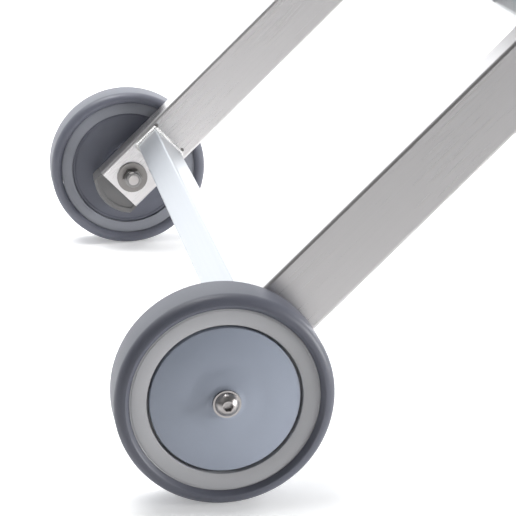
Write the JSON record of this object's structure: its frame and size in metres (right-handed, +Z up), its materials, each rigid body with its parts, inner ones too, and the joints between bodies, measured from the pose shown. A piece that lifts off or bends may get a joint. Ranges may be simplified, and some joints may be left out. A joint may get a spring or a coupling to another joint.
{
  "type": "shopping trolley",
  "caption": "Shopping trolley with a brushed tube frame, bolted rubber-tyred wheels, a fabric bag with a lid flap, a crossbar handle and a fold-out stand.",
  "frame": {"origin": "on the floor, under the middle of the box that holds the whole trolley at rest", "axes": "+X from the wheels to the handle, +Y to the right-hand wheel along the axle line, +Z up"},
  "size_m": [0.7722, 0.5676, 0.7862],
  "materials": {
    "brushed_aluminium": "brushed along the tube",
    "stainless_steel": "polished",
    "bracket_steel": "satin",
    "tyre_rubber": "matte",
    "rim_plastic": "fine grain",
    "cover_plastic": "satin",
    "end_plastic": "satin",
    "grip_foam": "matte foam",
    "boot_rubber": "matte",
    "bush_nylon": "smooth",
    "bag_felt": "felt",
    "webbing": "woven",
    "buckle_plastic": "moulded"
  },
  "bodies": {
    "frame": {"axle_bolt_left": "stainless_steel", "axle_bolt_right": "stainless_steel", "axle_nut_left": "stainless_steel", "axle_nut_right": "stainless_steel", "axle_sleeve_left": "stainless_steel", "axle_sleeve_right": "stainless_steel", "bag_back": "bag_felt", "bag_base": "bag_felt", "bag_front": "bag_felt", "bag_side_left": "bag_felt", "bag_side_right": "bag_felt", "bag_strap_left": "webbing", "bag_strap_right": "webbing", "bracket_rivets_left": "stainless_steel", "bracket_rivets_right": "stainless_steel", "crossbar_lower": "brushed_aluminium", "crossbar_middle": "brushed_aluminium", "crossbar_upper": "brushed_aluminium", "front_strap": "webbing", "handle_bar": "brushed_aluminium", "handle_grip": "grip_foam", "head_washer_left": "stainless_steel", "head_washer_right": "stainless_steel", "load_tray": "brushed_aluminium", "nut_washer_left": "stainless_steel", "nut_washer_right": "stainless_steel", "pivot_bolt_left": "stainless_steel", "pivot_bolt_right": "stainless_steel", "pivot_nut_left": "stainless_steel", "pivot_nut_right": "stainless_steel", "rail_cap_left": "end_plastic", "rail_cap_right": "end_plastic", "rail_left": "brushed_aluminium", "rail_nose_left": "end_plastic", "rail_nose_right": "end_plastic", "rail_right": "brushed_aluminium", "stand_bracket_left": "bracket_steel", "stand_bracket_right": "bracket_steel"},
    "wheel_left": {"tyre_left": "tyre_rubber", "rim_left": "rim_plastic", "hub_cover_left": "cover_plastic", "hub_disc_left": "cover_plastic", "bearing_outer_left": "stainless_steel", "bearing_inner_left": "stainless_steel"},
    "wheel_right": {"tyre_right": "tyre_rubber", "rim_right": "rim_plastic", "hub_cover_right": "cover_plastic", "hub_disc_right": "cover_plastic", "bearing_outer_right": "stainless_steel", "bearing_inner_right": "stainless_steel"},
    "stand": {"stand_leg_left": "brushed_aluminium", "stand_leg_right": "brushed_aluminium", "stand_boot_left": "boot_rubber", "stand_boot_right": "boot_rubber", "pivot_bush_left": "bush_nylon", "pivot_bush_right": "bush_nylon", "foot_bar": "brushed_aluminium"},
    "lid": {"bag_lid": "bag_felt", "lid_buckle": "buckle_plastic"}
  },
  "joints": [
    {"name": "wheel_left_spin", "type": "hinge", "parent": "frame", "child": "wheel_left", "pos_m": [-0.32356, -0.2608, 0.0625], "axis": [0, 1, 0], "continuous": true},
    {"name": "wheel_right_spin", "type": "hinge", "parent": "frame", "child": "wheel_right", "pos_m": [-0.32356, 0.2608, 0.0625], "axis": [0, 1, 0], "continuous": true},
    {"name": "stand_fold", "type": "hinge", "parent": "frame", "child": "stand", "pos_m": [0.1358, 0, 0.45036], "axis": [0, 1, 0], "range_deg": [0, 59.5]},
    {"name": "lid_fold", "type": "hinge", "parent": "frame", "child": "lid", "pos_m": [0.24269, 0, 0.63406], "axis": [0, 1, 0], "range_deg": [0, 88]}
  ]
}
